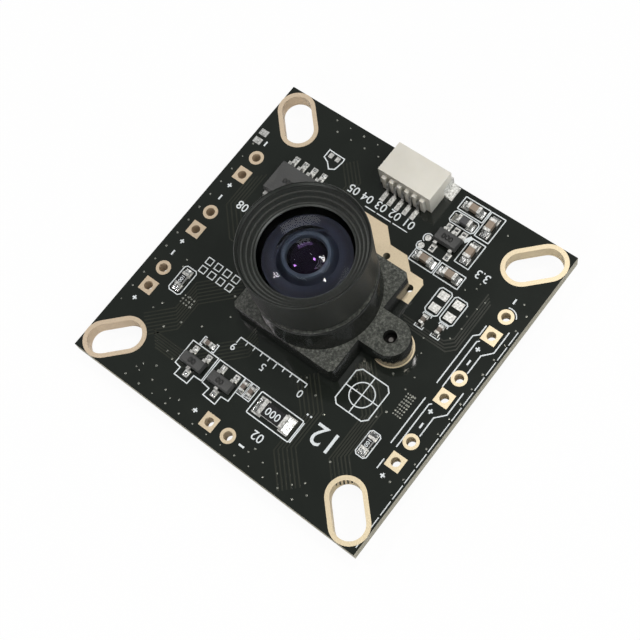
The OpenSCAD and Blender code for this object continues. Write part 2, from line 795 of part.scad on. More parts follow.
module small_chip_ends() {
    color("silver") {
        at_chips(small_chips, true) chip_caps(chip_small);
        at_back_chips(back_chips) chip_caps(chip_small);
    }
}

// ---------------------------------------------------------------- parts on the back

processor_w = 7;
processor_h = 0.85;
processor_at = [0.3, -0.4];
crystal = [3.2, 2.5, 0.7];
crystal_at = [0.3, -6.6];

module processor_body() {
    color("black") translate([processor_at[0], processor_at[1], board_z - copper_t - processor_h])
        difference() {
            translate([-processor_w / 2, -processor_w / 2, 0])
                cube([processor_w, processor_w, processor_h]);
            translate([-processor_w / 2 + 0.8, processor_w / 2 - 0.8, -1])
                cylinder(d = 0.7, h = 1.05);
        }
}

module crystal_base() {
    color("tan") translate([crystal_at[0] - crystal[0] / 2, crystal_at[1] - crystal[1] / 2,
        board_z - copper_t - 0.4]) cube([crystal[0], crystal[1], 0.4]);
}

module crystal_can() {
    color("silver") translate([crystal_at[0] - crystal[0] / 2 + 0.2,
        crystal_at[1] - crystal[1] / 2 + 0.2, board_z - copper_t - crystal[2]])
        cube([crystal[0] - 0.4, crystal[1] - 0.4, crystal[2] - 0.4]);
}

circuit_board();
slot_plating();
header_plating();
ground_copper();
screw_hole_plating();
solder_lands();
solder_joints();
socket_housing();
socket_contacts();
socket_tabs();
lens_holder();
holder_screws();
infrared_filter();
sensor_package();
sensor_die();
sensor_glass();
lens_barrel();
front_ring();
front_glass();
inner_mount();
middle_glass();
spacer_tube();
rear_glass();
rear_ring();
memory_body();
memory_leads();
regulator_body();
regulator_leads();
transistor_bodies();
transistor_leads();
capacitor_bodies();
capacitor_ends();
bead_body();
bead_ends();
resistor_bodies();
resistor_ends();
resistor_coats();
small_chip_bodies();
small_chip_ends();
processor_body();
crystal_can();
crystal_base();
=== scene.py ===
import math
import bpy
import bmesh
from mathutils import Matrix, Vector


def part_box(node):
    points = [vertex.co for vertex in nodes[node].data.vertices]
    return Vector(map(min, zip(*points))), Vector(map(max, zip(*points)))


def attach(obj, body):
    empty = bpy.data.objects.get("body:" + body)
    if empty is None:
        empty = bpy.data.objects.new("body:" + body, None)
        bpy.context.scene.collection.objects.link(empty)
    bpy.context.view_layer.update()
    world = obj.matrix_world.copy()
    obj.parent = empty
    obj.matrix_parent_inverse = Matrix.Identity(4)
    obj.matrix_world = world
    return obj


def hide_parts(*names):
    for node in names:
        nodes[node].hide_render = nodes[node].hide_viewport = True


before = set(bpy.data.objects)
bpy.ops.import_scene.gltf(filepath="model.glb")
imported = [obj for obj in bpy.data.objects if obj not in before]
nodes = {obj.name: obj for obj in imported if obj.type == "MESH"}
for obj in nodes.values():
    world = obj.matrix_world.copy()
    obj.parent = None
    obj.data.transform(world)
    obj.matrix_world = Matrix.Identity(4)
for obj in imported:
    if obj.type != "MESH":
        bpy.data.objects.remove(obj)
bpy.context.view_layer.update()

# ---------------------------------------------------------------- Studio
# A pale floor under the board, a white backdrop, a large soft box from above on the right and three
# small window lamps that show as bright panes in the glass. The camera looks down on the socket side.
scene = bpy.context.scene
scene.view_settings.view_transform = "Standard"
board_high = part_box("circuit_board")[1]
camera_data = bpy.data.cameras.new("camera")
camera_data.lens = 67.74
camera_data.sensor_width = 36
camera_data.clip_start = 0.005
camera = bpy.data.objects.new("camera", camera_data)
scene.collection.objects.link(camera)
camera.location = (0.04438, -0.02752, board_high.z + 0.11491)
camera.rotation_euler = [math.radians(a) for a in (22.0265, 8.8474, 38.3042)]
scene.camera = camera


class Wire:
    """A socket in a material's node tree. Sums and products of wires add Math nodes."""

    def __init__(self, tree, socket=None):
        self.tree, self.socket = tree, socket

    def node(self, kind, settings=None, sockets=None, out=0):
        made = self.tree.nodes.new("ShaderNode" + kind)
        for name, value in (settings or {}).items():
            if name == "stops":
                ramp = made.color_ramp
                while len(ramp.elements) < len(value):
                    ramp.elements.new(0.5)
                for element, (place, colour) in zip(ramp.elements, value):
                    element.position = place
                    element.color = tuple(colour) + (1,)
            else:
                setattr(made, name, value)
        for name, value in (sockets or {}).items():
            if isinstance(value, Wire):
                self.tree.links.new(value.socket, made.inputs[name])
            else:
                made.inputs[name].default_value = value
        return Wire(self.tree, made.outputs[out])

    def math(self, operation, a, b=0.0):
        return self.node("Math", {"operation": operation}, {0: a, 1: b})

    def __add__(self, other):
        return self.math("ADD", self, other)

    __radd__ = __add__

    def __sub__(self, other):
        return self.math("SUBTRACT", self, other)

    def __rsub__(self, other):
        return self.math("SUBTRACT", other, self)

    def __mul__(self, other):
        return self.math("MULTIPLY", self, other)

    __rmul__ = __mul__

    def above(self, edge):
        return self.math("GREATER_THAN", self, edge)

    def ramp(self, *stops):
        return self.node("ValToRGB", {"stops": stops}, {"Fac": self})

    def mix(self, dark, light):
        """A colour between two, by this wire."""
        return self.node("Mix", {"data_type": "RGBA"}, {"Factor": self, 6: dark, 7: light}, out=2)

    def feed(self, shader, name):
        self.tree.links.new(self.socket, shader.inputs[name])


def new_finish(name, **constants):
    """A material with one Principled shader, its tree and its place in object coordinates."""
    finish = bpy.data.materials.new(name)
    finish.use_nodes = True
    tree = finish.node_tree
    shader = tree.nodes["Principled BSDF"]
    for socket, value in constants.items():
        shader.inputs[socket.replace("_", " ")].default_value = value
    root = Wire(tree)
    place = root.node("TexCoord", out=3)
    return finish, root, shader, place


def noise(root, place, per_mm, detail=3.0, rough=0.55):
    """A noise wire of so many grains to the millimetre."""
    return root.node("TexNoise", None, {"Vector": place, "Scale": per_mm * 1000,
                     "Detail": detail, "Roughness": rough})


def bump(root, height, depth, strength=1.0):
    """A Bump node whose distance is in metres."""
    return root.node("Bump", None, {"Height": height, "Distance": depth, "Strength": strength})


def col(red, green, blue):
    return (red, green, blue, 1.0)


floor_finish, root, shader, place = new_finish("floor_paper", Roughness=0.9)
shader.inputs["Base Color"].default_value = col(0.86, 0.86, 0.86)
seen = root.node("LightPath", out=0)
glow = floor_finish.node_tree.nodes.new("ShaderNodeEmission")
glow.inputs["Strength"].default_value = 1.0
blend = floor_finish.node_tree.nodes.new("ShaderNodeMixShader")
tree = floor_finish.node_tree
(seen * 0.94).feed(blend, 0)
tree.links.new(shader.outputs[0], blend.inputs[1])
tree.links.new(glow.outputs[0], blend.inputs[2])
tree.links.new(blend.outputs[0], tree.nodes["Material Output"].inputs["Surface"])
bpy.ops.mesh.primitive_plane_add(size=3, location=(0, 0, 0))
floor = bpy.context.object
floor.name = "floor"
floor.data.materials.append(floor_finish)

world = bpy.data.worlds.new("studio")
scene.world = world
world.use_nodes = True
air = Wire(world.node_tree)
seen = air.node("LightPath", out=0)
sky = world.node_tree.nodes["Background"]
seen.mix(col(0.21, 0.22, 0.22), col(1, 1, 1)).feed(sky, "Color")
sky.inputs["Strength"].default_value = 1.0


def lamp(name, spot, aim, width, height, watts, colour=(1, 1, 1)):
    data = bpy.data.lights.new(name, "AREA")
    data.shape = "RECTANGLE"
    data.size, data.size_y, data.energy, data.color = width, height, watts, colour
    made = bpy.data.objects.new(name, data)
    scene.collection.objects.link(made)
    made.location = spot
    made.rotation_euler = (Vector(aim) - Vector(spot)).to_track_quat("-Z", "Y").to_euler()


def window(name, glass, radius, x, y, reach, width, height, watts, colour):
    """A small lamp at a reach that mirrors from a point of a domed glass (x, y in mm)."""
    low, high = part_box(glass)
    middle = (low + high) / 2
    centre = Vector((middle.x, middle.y, high.z - radius))
    x, y = x * 0.001, y * 0.001
    spot = centre + Vector((x, y, math.sqrt(radius * radius - x * x - y * y)))
    out = (spot - centre).normalized()
    view = (spot - camera.location).normalized()
    lamp(name, spot + (view - 2 * view.dot(out) * out) * reach, spot, width, height, watts, colour)


lamp("soft_box", (0.35, 0.10, 0.42), (0, 0, 0.01), 0.35, 0.35, 1.3)
lamp("side_box", (0.10, -0.45, 0.25), (0, 0, 0.01), 0.30, 0.20, 0.8)
lamp("back_box", (-0.40, 0.30, 0.30), (0, 0, 0.01), 0.30, 0.20, 0.5)
window("window_a", "middle_glass", 0.006, 1.04, 0.13, 1.0, 0.11, 0.08, 1.7, (1, 0.97, 0.95))
window("window_b", "front_glass", 0.0123, 3.5, -1.3, 0.3, 0.012, 0.014, 0.10, (1, 0.95, 0.8))
window("window_c", "middle_glass", 0.006, -0.35, -1.8, 0.3, 0.022, 0.030, 0.14, (1, 0.93, 0.95))


# ---------------------------------------------------------------- Circuit board
# Glass-fibre laminate with a glossy black solder mask on both faces. The sawn edges show the bare
# laminate, and the copper tracks stand out a little under the mask.
def dress(finish, *names):
    """Gives the CAD nodes a finish."""
    for name in names:
        for slot in nodes[name].material_slots:
            slot.material = finish


finish, root, shader, place = new_finish("solder_mask", IOR=1.5)
normal_z = root.node("SeparateXYZ", None, {0: root.node("NewGeometry", out=1)}, out=2)
side = 1 - root.math("ABSOLUTE", normal_z).above(0.5)
cloud = noise(root, place, 0.25)
speck = noise(root, place, 9, 2)
fibre = root.node("TexWave", {"bands_direction": "Z"}, {"Vector": place, "Scale": 2200,
                  "Distortion": 6.0, "Detail": 3.0})
mask_colour = cloud.mix(col(0.0085, 0.0105, 0.0085), col(0.015, 0.018, 0.0145))
edge_colour = fibre.mix(col(0.24, 0.22, 0.16), col(0.40, 0.38, 0.30))
side.mix(mask_colour, edge_colour).feed(shader, "Base Color")
(0.05 + cloud * 0.05 + speck * 0.04 + side * 0.5).feed(shader, "Roughness")
bump(root, speck * 0.6 + cloud, 0.000001, 0.6).feed(shader, "Normal")
dress(finish, "circuit_board")

# Tracks under the mask: bundles of thin raised lines that leave the holder and the header holes.
top = board_high.z
half = board_high.x
MM = 0.001


def ribbon(mesh, points, width, low, high):
    """Adds a flat strip along points in mm, with mitred corners, to a bmesh."""
    points = [Vector((x * MM, y * MM)) for x, y in points]
    closed = (points[0] - points[-1]).length < 1e-7 and len(points) > 2
    if closed:
        points = points[:-1]
    count = len(points)
    rows = []
    for i, here in enumerate(points):
        back = points[i - 1] if closed or i else None
        on = points[(i + 1) % count] if closed or i < count - 1 else None
        before = (here - back).normalized() if back is not None else None
        after = (on - here).normalized() if on is not None else None
        along = ((before or after) + (after or before)).normalized()
        across = Vector((-along.y, along.x))
        ahead = after or before
        cosine = max(0.4, across.dot(Vector((-ahead.y, ahead.x))))
        reach = across * (width * MM / 2 / cosine)
        rows.append([mesh.verts.new((p.x, p.y, z)) for z in (low, high)
                     for p in (here - reach, here + reach)])
    steps = range(count if closed else count - 1)
    for i in steps:
        a, b = rows[i], rows[(i + 1) % count]
        for faces in ((a[2], b[2], b[3], a[3]), (a[0], a[1], b[1], b[0]),
                      (a[0], b[0], b[2], a[2]), (a[1], a[3], b[3], b[1])):
            mesh.faces.new(faces)
    if not closed:
        for row in (rows[0], rows[-1]):
            mesh.faces.new((row[0], row[2], row[3], row[1]))


def finish_mesh(mesh, name, finish, body="board"):
    """Turns a bmesh into a piece that rides on a body."""
    bmesh.ops.recalc_face_normals(mesh, faces=mesh.faces)
    data = bpy.data.meshes.new(name)
    mesh.to_mesh(data)
    mesh.free()
    data.materials.append(finish)
    piece = bpy.data.objects.new(name, data)
    scene.collection.objects.link(piece)
    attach(piece, body)
    return piece


tracks = bmesh.new()
bundles = (((-8, -3.5), (-11.5, -7), (-11.5, -10.5), (-14, -13), 7, 0.42, -1),
           ((-7.5, 1), (-12, 1), (-15, 4), (-15, 8), 5, 0.5, 1),
           ((-3, -7), (-3, -8.6), (-8, -13.6), (-12, -13.6), 6, 0.4, -1),
           ((4, -7), (7, -10), (7, -14.5), (10, -17.5), 6, 0.45, 1),
           ((8, -2.5), (12, -6.5), (12, -12), (14, -14), 6, 0.4, 1),
           ((-3, 7), (-5.5, 9.5), (-5.5, 13), (-7.5, 15), 5, 0.4, 1),
           ((8.5, 3.2), (13.6, 3.2), (14.4, 4), (14.4, 10), 4, 0.4, -1))
for a, b, c, d, count, step, lean in bundles:
    for i in range(count):
        shift = (i - count / 2) * step
        ribbon(tracks, [(x + shift * 0.7, y + lean * shift * 0.7) for x, y in (a, b, c, d)],
               0.16, top - 0.01 * MM, top + 0.003 * MM)
track_finish, root, shader, place = new_finish("mask_over_copper", IOR=1.5)
cloud = noise(root, place, 0.4)
cloud.mix(col(0.014, 0.016, 0.012), col(0.030, 0.032, 0.023)).feed(shader, "Base Color")
(0.14 + cloud * 0.1).feed(shader, "Roughness")
finish_mesh(tracks, "mask_tracks", track_finish)


# ---------------------------------------------------------------- Vias
# Small tinned holes that tie the ground planes together: a stitched double row along the edges, a
# grid beside the holder and a scatter between the tracks. One Geometry Nodes rule sets a cap on each.
def rule_tree(name, sizes, build):
    """A Geometry Nodes tree with named sizes as inputs; build adds its nodes."""
    tree = bpy.data.node_groups.new(name, "GeometryNodeTree")
    tree.interface.new_socket("Geometry", in_out="INPUT", socket_type="NodeSocketGeometry")
    for size, kind in sizes:
        tree.interface.new_socket(size, in_out="INPUT", socket_type=kind)
    tree.interface.new_socket("Geometry", in_out="OUTPUT", socket_type="NodeSocketGeometry")
    source = tree.nodes.new("NodeGroupInput")
    sink = tree.nodes.new("NodeGroupOutput")

    def add(kind, settings=None, **sockets):
        made = tree.nodes.new(kind)
        for key, value in (settings or {}).items():
            setattr(made, key, value)
        for key, value in sockets.items():
            place = made.inputs[key.replace("_", " ")]
            if isinstance(value, bpy.types.NodeSocket):
                tree.links.new(value, place)
            else:
                place.default_value = value
        return made

    tree.links.new(build(add, source), sink.inputs[0])
    return tree


def run_rule(tree, name, start, values, finish, body):
    """Runs a tree on a start mesh and keeps the result as a plain mesh."""
    holder = bpy.data.objects.new(name + "_start", start)
    scene.collection.objects.link(holder)
    rule = holder.modifiers.new("rule", "NODES")
    rule.node_group = tree
    keys = {item.name: item.identifier for item in tree.interface.items_tree
            if item.item_type == "SOCKET" and item.in_out == "INPUT"}
    for key, value in values.items():
        rule[keys[key]] = value
    bpy.context.view_layer.update()
    ready = holder.evaluated_get(bpy.context.evaluated_depsgraph_get())
    data = bpy.data.meshes.new_from_object(ready)
    holder.modifiers.remove(rule)
    bpy.data.objects.remove(holder)
    data.name = name
    if not data.materials:
        data.materials.append(finish)
    piece = bpy.data.objects.new(name, data)
    scene.collection.objects.link(piece)
    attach(piece, body)
    return piece


via_finish, root, shader, place = new_finish("via_tin", Metallic=0.6, Roughness=0.35)
noise(root, place, 4).mix(col(0.10, 0.11, 0.10), col(0.34, 0.34, 0.30)).feed(shader, "Base Color")


def via_rule(add, source):
    cap = add("GeometryNodeMeshCone", None, Vertices=8, Side_Segments=1, Depth=0.00001)
    cap.inputs["Radius Bottom"].default_value = 0.00012
    cap.inputs["Radius Top"].default_value = 0.00006
    spread = add("FunctionNodeRandomValue", {"data_type": "FLOAT"})
    spread.inputs[2].default_value = 0.7
    spread.inputs[3].default_value = 1.15
    spread.id_data.links.new(source.outputs["Seed"], spread.inputs["Seed"])
    spots = add("GeometryNodeInstanceOnPoints", None, Points=source.outputs["Geometry"],
                Instance=cap.outputs["Mesh"], Scale=spread.outputs[1])
    real = add("GeometryNodeRealizeInstances", None, Geometry=spots.outputs[0])
    done = add("GeometryNodeSetMaterial", None, Geometry=real.outputs[0],
               Material=source.outputs["Finish"])
    return done.outputs[0]


via_tree = rule_tree("via_rule", (("Seed", "NodeSocketInt"), ("Finish", "NodeSocketMaterial")),
                     via_rule)
edge = half / MM
spots = []
for row, inset in ((0, 0.75), (1, 1.9)):
    for i in range(20):
        along = -edge + 1.2 + i * 1.9 + row * 0.95
        spots += [(along, -edge + inset), (along, edge - inset)]
        spots += [(edge - inset * 0.8, along)] + ([(-edge + inset, along)] if row == 0 else [])
spots += [(13.5 + c * 0.28, -5.34 + r * 0.36) for c in range(4) for r in range(8)]
spots += [(-12.6 + c * 0.42, -8.6 + r * 0.42) for c in range(4) for r in range(3)]
spots += [(-15.2 + 4.1 * math.sin(i * 2.4) + i * 0.22, -11 + 6.5 * math.cos(i * 1.7))
          for i in range(26)]
spots += [(9 + 5 * math.sin(i * 1.9), -11 + 5.5 * math.cos(i * 2.6)) for i in range(22)]
spots += [(12.5 + 1.6 * math.sin(i * 2.2), 4 + 7 * math.cos(i * 1.3)) for i in range(16)]


def on_bare_mask(x, y):
    """True where no slot, pad, chip or holder covers the board."""
    slot_reach = abs(abs(x) - 15.86) < 3.4 and abs(abs(y) - 15.86) < 3.4
    header = abs(abs(x) - 16.75) < 1.1 and -11 < y < 11
    low = abs(y + 17.05) < 1.1 and abs(x) < 2.6
    holder = abs(x - 0.3) < 7 and abs(y - 0.25) < 7 or math.hypot(abs(x - 0.3) - 9, y - 0.25) < 2.6
    socket = abs(x) < 4.6 and y > 12.6
    parts = (4 < x < 11.2 and y > 8.8) or (-14 < x < -7.5 and 4.6 < y < 13) \
        or (-8.9 < x < 7 and -15.4 < y < -9.8)
    return not (slot_reach or header or low or holder or socket or parts)


seeds = bpy.data.meshes.new("via_spots")
seeds.from_pydata([(x * MM, y * MM, top + 0.005 * MM) for x, y in spots if on_bare_mask(x, y)],
                  [], [])
run_rule(via_tree, "vias", seeds, {"Seed": 7, "Finish": via_finish}, via_finish, "board")

# ---------------------------------------------------------------- Plating and bare copper
# Copper with a thin gold flash, laid on both faces round each slot and hole and down its wall. Its
# colour runs from a pinkish tan on the left of the board to a pale cream on the right: a painted
# highlight, with the side towards the light drawn paler and lighter.
finish, root, shader, place = new_finish("gold_flash", Metallic=0.45)
across = root.node("SeparateXYZ", None, {0: place}, out=0)
grain = noise(root, place, 6, 4)
# Painted highlight: the plating is drawn paler and lighter towards the right of the board.
lit_side_share = root.node("MapRange", None, {"Value": across, "From Min": -0.019, "From Max": 0.019})
gold = lit_side_share.mix(col(0.78, 0.64, 0.48), col(0.86, 0.75, 0.53))
dull = lit_side_share.mix(col(0.58, 0.45, 0.31), col(0.62, 0.51, 0.33))
grain.mix(dull, gold).feed(shader, "Base Color")
(0.26 + grain * 0.18).feed(shader, "Roughness")
bump(root, grain, 0.00001, 0.5).feed(shader, "Normal")
dress(finish, "slot_plating", "ground_copper", "screw_hole_plating", "header_plating")

# ---------------------------------------------------------------- Tin and solder
# Lands and lead frames are tinned, and the solder joints are a brighter, smoother alloy.
finish, root, shader, place = new_finish("tin_plate", Metallic=0.9)
grain = noise(root, place, 4, 5, 0.65)
grain.ramp((0.35, (0.30, 0.30, 0.28)), (0.62, (0.80, 0.80, 0.78))).feed(shader, "Base Color")
(0.26 + grain * 0.22).feed(shader, "Roughness")
bump(root, grain, 0.00002, 0.5).feed(shader, "Normal")
dress(finish, "solder_lands", "memory_leads", "regulator_leads", "transistor_leads",
      "socket_contacts", "socket_tabs", "capacitor_ends", "bead_ends", "resistor_ends",
      "small_chip_ends", "crystal_can")

finish, root, shader, place = new_finish("solder", Metallic=1.0)
grain = noise(root, place, 2.5, 3)
grain.ramp((0.35, (0.42, 0.42, 0.40)), (0.60, (0.88, 0.88, 0.87))).feed(shader, "Base Color")
(0.12 + grain * 0.14).feed(shader, "Roughness")
bump(root, grain, 0.00012, 1.0).feed(shader, "Normal")
dress(finish, "solder_joints")

# ---------------------------------------------------------------- Silkscreen
# White epoxy ink printed on the mask: outlines of the parts, plus and minus marks at the header
# pairs, guide lines and plain numbers.
ink_finish, root, shader, place = new_finish("white_ink", Roughness=0.55)
worn = noise(root, place, 5, 4, 0.7)
worn.ramp((0.30, (0.50, 0.54, 0.55)), (0.50, (0.74, 0.78, 0.80))).feed(shader, "Base Color")
bump(root, worn, 0.00001, 0.5).feed(shader, "Normal")
ink_low, ink_high = top + 0.002 * MM, top + 0.018 * MM
ink = bmesh.new()
LINE = 0.12


layer = 0


def line(*points, width=LINE):
    """A printed line. Each lies a hair higher than the last, so that crossings stay clean."""
    global layer
    layer = (layer + 1) % 6
    ribbon(ink, points, width, ink_low, ink_high + layer * 0.0015 * MM)


def rounded(x0, y0, x1, y1, r=0.25, width=LINE):
    """A closed box outline with cut corners."""
    line((x0 + r, y0), (x1 - r, y0), (x1, y0 + r), (x1, y1 - r), (x1 - r, y1), (x0 + r, y1),
         (x0, y1 - r), (x0, y0 + r), (x0 + r, y0), width=width)


def arc(x, y, r, start, stop, width=LINE, steps=20):
    """A printed arc between two angles in degrees."""
    turns = [math.radians(start + (stop - start) * i / steps) for i in range(steps + 1)]
    line(*[(x + r * math.cos(t), y + r * math.sin(t)) for t in turns], width=width)


for box in ((5.4, 16.78, 8.56, 18.44), (8.72, 15.18, 10.49, 18.43),
            (8.73, 11.61, 10.5, 14.77), (4.57, 9.15, 7.59, 10.77), (7.79, 9.13, 10.86, 10.75)):
    rounded(*box, 0.04)
for box in ((5.4, 15.1, 8.52, 16.56), (9.34, 5.39, 10.92, 8.52), (11.23, 5.39, 12.85, 8.51),
            (12.76, -10.85, 14.1, -7.93), (-14.83, -8.22, -13.16, -5.0)):
    rounded(*box)
rounded(1.15, -13.97, 6.7, -11.3, 0.1)
line((6.86, -13.9), (6.86, -11.4), width=0.12)
for x in (10.04, 12.07):
    line((x - 0.5, 5.0), (x - 0.5, 5.25), (x + 0.5, 5.25), (x + 0.5, 5.0), width=0.11)
    line((x - 0.5, 3.8), (x - 0.5, 3.5), (x + 0.5, 3.5), (x + 0.5, 3.8), width=0.11)
line((-7.7, -10.1), (-7.7, -11.05), (-7.4, -11.05))
line((-6.1, -11.05), (-5.8, -11.05), (-5.8, -10.1), (-6.1, -10.1))
line((-7.7, -10.1), (-7.4, -10.1))
for x in (-0.72, 0.26):
    line((x - 0.42, -11.2), (x + 0.42, -11.2), (x + 0.42, -13), (x - 0.42, -13), (x - 0.42, -11.2),
         width=0.1)
for outline in (((-8.5, -11.2), (-4.93, -11.2), (-4.88, -14.15), (-5.88, -14.19), (-5.94, -15.26),
                 (-7.74, -15.23), (-7.7, -14.3), (-8.5, -14.2), (-8.5, -11.2)),
                ((-4.71, -11.2), (-1.2, -11.2), (-1.1, -14.2), (-2.04, -14.27), (-2.05, -15.28),
                 (-3.75, -15.2), (-3.65, -14.3), (-4.7, -14.2), (-4.71, -11.2))):
    line(*outline)
line((8.25, 14.0), (8.75, 14.8), width=0.45)
line((-10.45, 14.85), (-10.45, 13.8), (-9.75, 13.5), (-9.1, 12.86), (-8.5, 13.2), (-8.3, 14.4),
     (-8.35, 14.79), (-9.74, 14.81), (-10.45, 14.85), width=0.13)
line((15.17, -7.95), (15.17, -2.15), width=0.13)
line((15.17, -0.25), (15.17, 5.92), (15.67, 6.41), (15.67, 7.61), width=0.13)
line((15.87, -7.95), (15.87, -2.55), (16.1, -2.3), width=0.13)
line((15.87, -0.26), (15.87, 5.62), (16.1, 5.85), width=0.13)
for low, bend, high in ((-5.75, -3.4, 0.4), (2.3, 4.6, 8.3)):
    line((17.1, low), (17.1, bend), (18.0, bend + 1.0), (18.0, high), width=0.13)
line((15.6, -10.8), (15.6, -9.6), width=0.13)
for start, stop in ((-2.96, -1.59), (-1.39, 0.48), (0.73, 2.68)):
    line((start, 11.5), (stop, 11.5), width=0.11)
arc(4.91, 12.22, 0.52, 60, 250, 0.12)
arc(4.81, 11.13, 0.52, 120, 300, 0.12)
arc(16.75, 9.48, 1.05, 20, 110, 0.12)
for x, y in ((-17.1, 5.15), (-17.1, -3.1), (-17.1, -11.15), (16.45, 5.0), (16.45, -3.05),
             (16.5, -11.06), (-3.3, -16.95)):
    line((x - 0.27, y), (x + 0.27, y), width=0.17)
    line((x, y - 0.27), (x, y + 0.27), width=0.17)
for x, y in ((-17.0, 11.44), (-17.04, 3.44), (-17.08, -4.7), (16.5, 11.37), (16.53, 3.33),
             (16.57, -4.75)):
    line((x, y - 0.32), (x, y + 0.32), width=0.19)
line((2.73, -17.05), (3.41, -17.05), width=0.22)
# Registration cross, in the bare place below the holder's right ear
rounded(7.7, -7.9, 11.9, -3.4, 0.5, 0.13)
arc(9.8, -5.65, 1.35, 0, 360, 0.12, 28)
line((7.7, -5.65), (11.9, -5.65), width=0.11)
line((9.8, -7.9), (9.8, -3.4), width=0.11)
# Millimetre scale below the holder
line((-4.5, -8.0), (4.5, -8.0), width=0.13)
for i in range(10):
    line((-4.5 + i, -8.0), (-4.5 + i, -8.45 if i % 5 else -8.75), width=0.12)
# Tick boxes to the left of the holder
for row in (0, 1):
    for i in range(4):
        x, y = -13.3 + i * 1.25, -4.75 + row * 1.15
        line((x, y), (x + 0.75, y), (x + 0.75, y + 0.75), (x, y + 0.75), (x, y), width=0.11)
for x in (7.0, 6.55):
    line((x - 0.1, -10.5), (x + 0.1, -10.5), width=0.2)
finish_mesh(ink, "silkscreen_lines", ink_finish)

# The long dashed guide line beside the right edge comes from a Geometry Nodes rule: a box on every
# point of a line.
def dash_rule(add, source):
    bar = add("GeometryNodeMeshCube", None, Size=(0.00010, 0.0017, 0.000016))
    spots = add("GeometryNodeInstanceOnPoints", None, Points=source.outputs["Geometry"],
                Instance=bar.outputs["Mesh"])
    real = add("GeometryNodeRealizeInstances", None, Geometry=spots.outputs[0])
    done = add("GeometryNodeSetMaterial", None, Geometry=real.outputs[0],
               Material=source.outputs["Finish"])
    return done.outputs[0]


dash_tree = rule_tree("dash_rule", (("Finish", "NodeSocketMaterial"),), dash_rule)
seeds = bpy.data.meshes.new("dash_spots")
seeds.from_pydata([(18.72 * MM, (-17.4 + i * 1.95) * MM, top + 0.01 * MM) for i in range(14)],
                  [], [])
run_rule(dash_tree, "guide_dashes", seeds, {"Finish": ink_finish}, ink_finish, "board")


def lettering(name, words, height, thick, finish, body):
    """Plain numbers, each as (text, x, y, turn in degrees, z), joined in one piece."""
    joined = bmesh.new()
    for text, x, y, turn, z in words:
        curve = bpy.data.curves.new("number", "FONT")
        curve.body = text
        curve.size = height * MM / 0.7
        curve.extrude = thick / 2
        curve.offset = 0.000006
        curve.resolution_u = 3
        curve.align_x, curve.align_y = "CENTER", "CENTER"
        holder = bpy.data.objects.new("number", curve)
        scene.collection.objects.link(holder)
        bpy.context.view_layer.update()
        ready = holder.evaluated_get(bpy.context.evaluated_depsgraph_get())
        data = bpy.data.meshes.new_from_object(ready)
        data.transform(Matrix.Translation((x * MM, y * MM, z)) @
                       Matrix.Rotation(math.radians(turn), 4, "Z"))
        joined.from_mesh(data)
        bpy.data.objects.remove(holder)
    bmesh.ops.remove_doubles(joined, verts=joined.verts, dist=1e-7)
    return finish_mesh(joined, name, finish, body)


z = top + 0.01 * MM
numbers = [("0" + str(5 - i), -5.2 + i * 1.85, 12.45, 180, z) for i in range(5)]
numbers += [("3.3", 12.2, 11.85, 180, z), ("08", -14.2, 4.0, 180, z), ("02", 3.8, -15.3, 180, z)]
lettering("silkscreen_numbers", numbers, 1.0, 0.016 * MM, ink_finish, "board")
numbers = [("12", 9.6, -11.4, 180, z)]
lettering("silkscreen_large_number", numbers, 2.3, 0.016 * MM, ink_finish, "board")
numbers = [(str(i), 4.5 - i, -9.2, 180, z) for i in (0, 5)] + [("9", -4.5, -9.2, 180, z)]
lettering("silkscreen_scale_numbers", numbers, 0.85, 0.016 * MM, ink_finish, "board")

# ---------------------------------------------------------------- Lens holder
# One black glass-filled moulding, fixed by two screws from behind. Its flat tops are eroded to a
# grain and are painted much lighter than the walls, partly the grain and partly a painted highlight
# where the light falls on them. Its upright walls are polished by the mould, so they mirror the
# copper beside them.
def softened(name, width, finish, body, angle=35):
    """A copy of a CAD node with its sharp edges rounded, which stands for the node."""
    data = nodes[name].data.copy()
    mesh = bmesh.new()
    mesh.from_mesh(data)
    bmesh.ops.remove_doubles(mesh, verts=mesh.verts, dist=2e-6)
    bmesh.ops.dissolve_limit(mesh, angle_limit=math.radians(1), verts=mesh.verts, edges=mesh.edges)
    mesh.to_mesh(data)
    mesh.free()
    data.materials.clear()
    data.materials.append(finish)
    data.name = name + "_soft"
    piece = bpy.data.objects.new(name + "_soft", data)
    scene.collection.objects.link(piece)
    round_edges = piece.modifiers.new("edges", "BEVEL")
    round_edges.width = width
    round_edges.segments = 2
    round_edges.limit_method = "ANGLE"
    round_edges.angle_limit = math.radians(angle)
    round_edges.harden_normals = True
    data.shade_smooth()
    bpy.context.view_layer.update()
    ready = piece.evaluated_get(bpy.context.evaluated_depsgraph_get())
    solid = bpy.data.meshes.new_from_object(ready)
    piece.modifiers.remove(round_edges)
    piece.data = solid
    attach(piece, body)
    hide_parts(name)
    return piece


finish, root, shader, place = new_finish("moulded_black", IOR=1.52)
normal_z = root.node("SeparateXYZ", None, {0: root.node("NewGeometry", out=1)}, out=2)
flat = normal_z.above(0.7)
grit = noise(root, place, 3.5, 6, 0.75)
flow = noise(root, place, 0.4, 2)
wall = grit.mix(col(0.005, 0.006, 0.005), col(0.014, 0.015, 0.013))
# Painted highlight: the up-facing tops get a far lighter grain colour than the walls, for the light
# falling on them.
grain_and_lit_top = grit.ramp((0.36, (0.012, 0.013, 0.011)), (0.50, (0.060, 0.064, 0.054)),
                   (0.66, (0.20, 0.205, 0.18)))
flat.mix(wall, grain_and_lit_top).feed(shader, "Base Color")
(0.14 + flow * 0.10 + flat * 0.34).feed(shader, "Roughness")
bump(root, grit * (0.06 + flat * 0.94), 0.00016, 1.0).feed(shader, "Normal")
softened("lens_holder", 0.00010, finish, "board")

finish, root, shader, place = new_finish("black_screw", Metallic=0.9)
grain = noise(root, place, 5, 3)
grain.mix(col(0.05, 0.05, 0.05), col(0.22, 0.21, 0.20)).feed(shader, "Base Color")
(0.28 + grain * 0.2).feed(shader, "Roughness")
dress(finish, "holder_screws")

